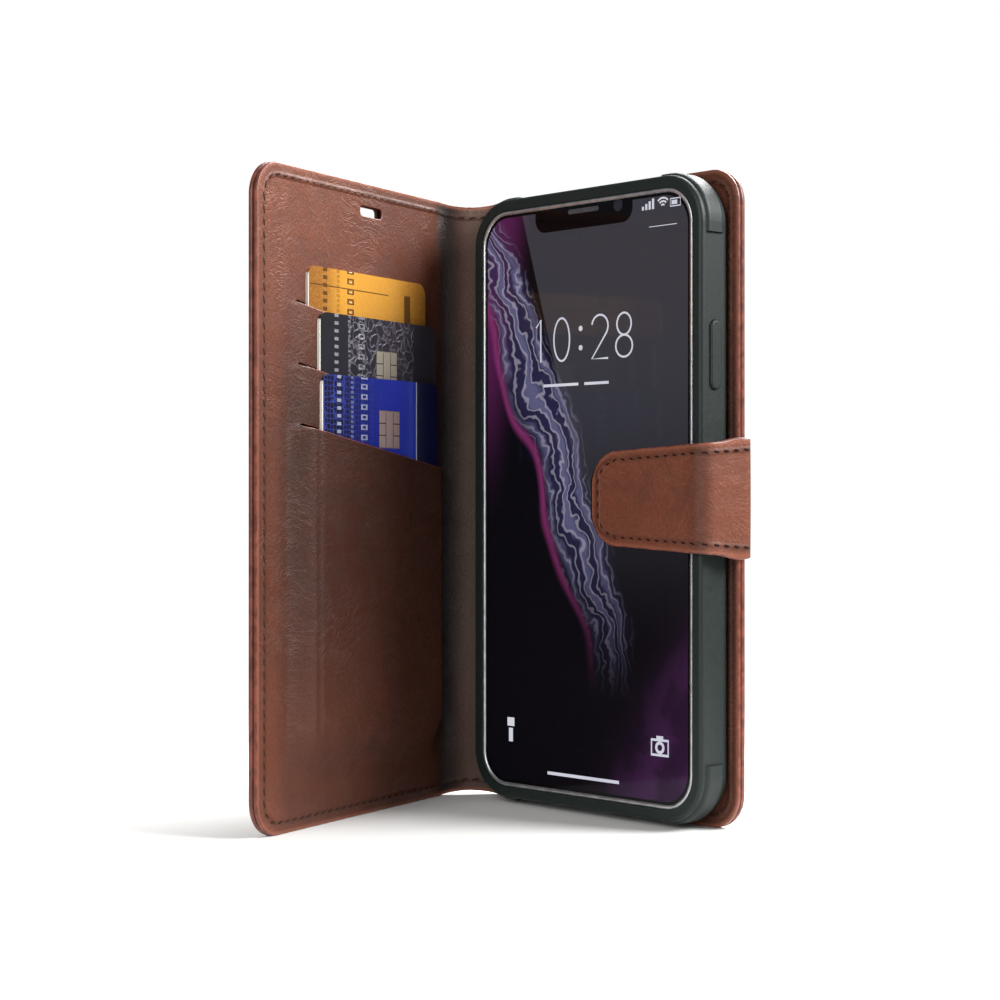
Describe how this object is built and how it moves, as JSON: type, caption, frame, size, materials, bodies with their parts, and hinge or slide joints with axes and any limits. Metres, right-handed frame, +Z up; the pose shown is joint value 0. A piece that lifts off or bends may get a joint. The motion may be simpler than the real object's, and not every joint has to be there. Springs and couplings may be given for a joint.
{
  "type": "phone wallet case",
  "caption": "Folio wallet case for a phone, standing open: leather cover with slanted card pockets, folding spine, moulded phone shell and magnetic wrap strap.",
  "frame": {"origin": "foot of the back cover's outer leather, on the phone's centre line, where the case stands", "axes": "+Z up along the phone's long side, the screen faces -Y, the spine is at -X and the strap at +X"},
  "size_m": [0.0989, 0.0945, 0.158],
  "materials": {
    "outer_leather": "waxed reddish-brown coated leather, satin",
    "lining_leather": "waxed reddish-brown coated leather, satin",
    "stiff_board": "matte",
    "magnet": "nickel plated",
    "steel": "plain sheet",
    "shell_tpu": "moulded soft-touch, dark green-grey",
    "phone_metal": "anodised silver",
    "screen_glass": "polished",
    "back_glass_panel": "polished black",
    "lens_glass": "polished dark glass",
    "flash": "frosted",
    "dark_mesh": "fine dark mesh",
    "display": "dark screen with an abstract picture",
    "battery_wrap": "black film",
    "circuit_board": "solder mask",
    "gold_card": "pearl gold print under clear film",
    "dark_card": "dark print under clear film",
    "blue_card": "blue print under clear film",
    "chip_contact": "pale gold plating"
  },
  "bodies": {
    "back_cover": {"back_outer_skin": "outer_leather", "back_board": "stiff_board", "back_lining": "lining_leather", "back_magnets": "magnet", "strap_root": "lining_leather", "shell": "shell_tpu", "steel_plate": "steel", "phone_frame": "phone_metal", "front_glass": "screen_glass", "earpiece_grille": "dark_mesh", "front_lens": "lens_glass", "display_panel": "display", "battery": "battery_wrap", "main_board": "circuit_board", "back_glass": "back_glass_panel", "camera_bezel": "phone_metal", "rear_lenses": "lens_glass", "flash_lens": "flash", "port_insert": "dark_mesh"},
    "spine": {"spine_outer_skin": "outer_leather", "spine_board": "stiff_board", "spine_lining": "lining_leather"},
    "front_cover": {"front_outer_skin": "outer_leather", "front_board": "stiff_board", "front_lining": "lining_leather", "catch_plate": "steel", "pocket_strip_upper": "lining_leather", "pocket_strip_lower": "lining_leather", "pocket_panel": "lining_leather"},
    "top_card": {"card_gold": "gold_card", "chip_gold": "chip_contact"},
    "middle_card": {"card_dark": "dark_card", "chip_dark": "chip_contact"},
    "bottom_card": {"card_blue": "blue_card", "chip_blue": "chip_contact"},
    "strap_side": {"strap_side_outer": "outer_leather", "strap_side_lining": "lining_leather"},
    "strap_tongue": {"tongue_outer": "outer_leather", "tongue_lining": "lining_leather", "tongue_core": "stiff_board", "tongue_magnet": "magnet"},
    "side_button": {"side_button_cap": "shell_tpu", "side_key": "phone_metal"},
    "volume_up_button": {"volume_up_cap": "shell_tpu", "volume_up_key": "phone_metal"},
    "volume_down_button": {"volume_down_cap": "shell_tpu", "volume_down_key": "phone_metal"},
    "mute": {"mute_switch": "phone_metal"}
  },
  "joints": [
    {"name": "spine_fold", "type": "hinge", "parent": "back_cover", "child": "spine", "pos_m": [-0.0419, -0.0005, 0.079], "axis": [0, 0, 1], "range_deg": [-53.9, 33]},
    {"name": "cover_fold", "type": "hinge", "parent": "spine", "child": "front_cover", "pos_m": [-0.05221, -0.01464, 0.079], "axis": [0, 0, 1], "range_deg": [-53.9, 33]},
    {"name": "top_card_slide", "type": "slide", "parent": "front_cover", "child": "top_card", "axis": [0, 0, 1], "range_m": [0, 0.06]},
    {"name": "middle_card_slide", "type": "slide", "parent": "front_cover", "child": "middle_card", "axis": [0, 0, 1], "range_m": [0, 0.06]},
    {"name": "bottom_card_slide", "type": "slide", "parent": "front_cover", "child": "bottom_card", "axis": [0, 0, 1], "range_m": [0, 0.06]},
    {"name": "strap_root_fold", "type": "hinge", "parent": "back_cover", "child": "strap_side", "pos_m": [0.0451, -0.00085, 0.079], "axis": [0, 0, 1], "range_deg": [0, 110]},
    {"name": "strap_front_fold", "type": "hinge", "parent": "strap_side", "child": "strap_tongue", "pos_m": [0.0413, -0.0139, 0.079], "axis": [0, 0, 1], "range_deg": [0, 80]},
    {"name": "side_button_press", "type": "slide", "parent": "back_cover", "child": "side_button", "axis": [-1, 0, 0], "range_m": [0, 0.0003], "stiffness_N_per_m": 900},
    {"name": "volume_up_press", "type": "slide", "parent": "back_cover", "child": "volume_up_button", "axis": [1, 0, 0], "range_m": [0, 0.0003], "stiffness_N_per_m": 900},
    {"name": "volume_down_press", "type": "slide", "parent": "back_cover", "child": "volume_down_button", "axis": [1, 0, 0], "range_m": [0, 0.0003], "stiffness_N_per_m": 900},
    {"name": "mute_slide", "type": "slide", "parent": "back_cover", "child": "mute", "axis": [0, 1, 0], "range_m": [0, 0.0009]}
  ],
  "couplings": [
    {"joint": "cover_fold", "follows": "spine_fold", "ratio": 1}
  ]
}
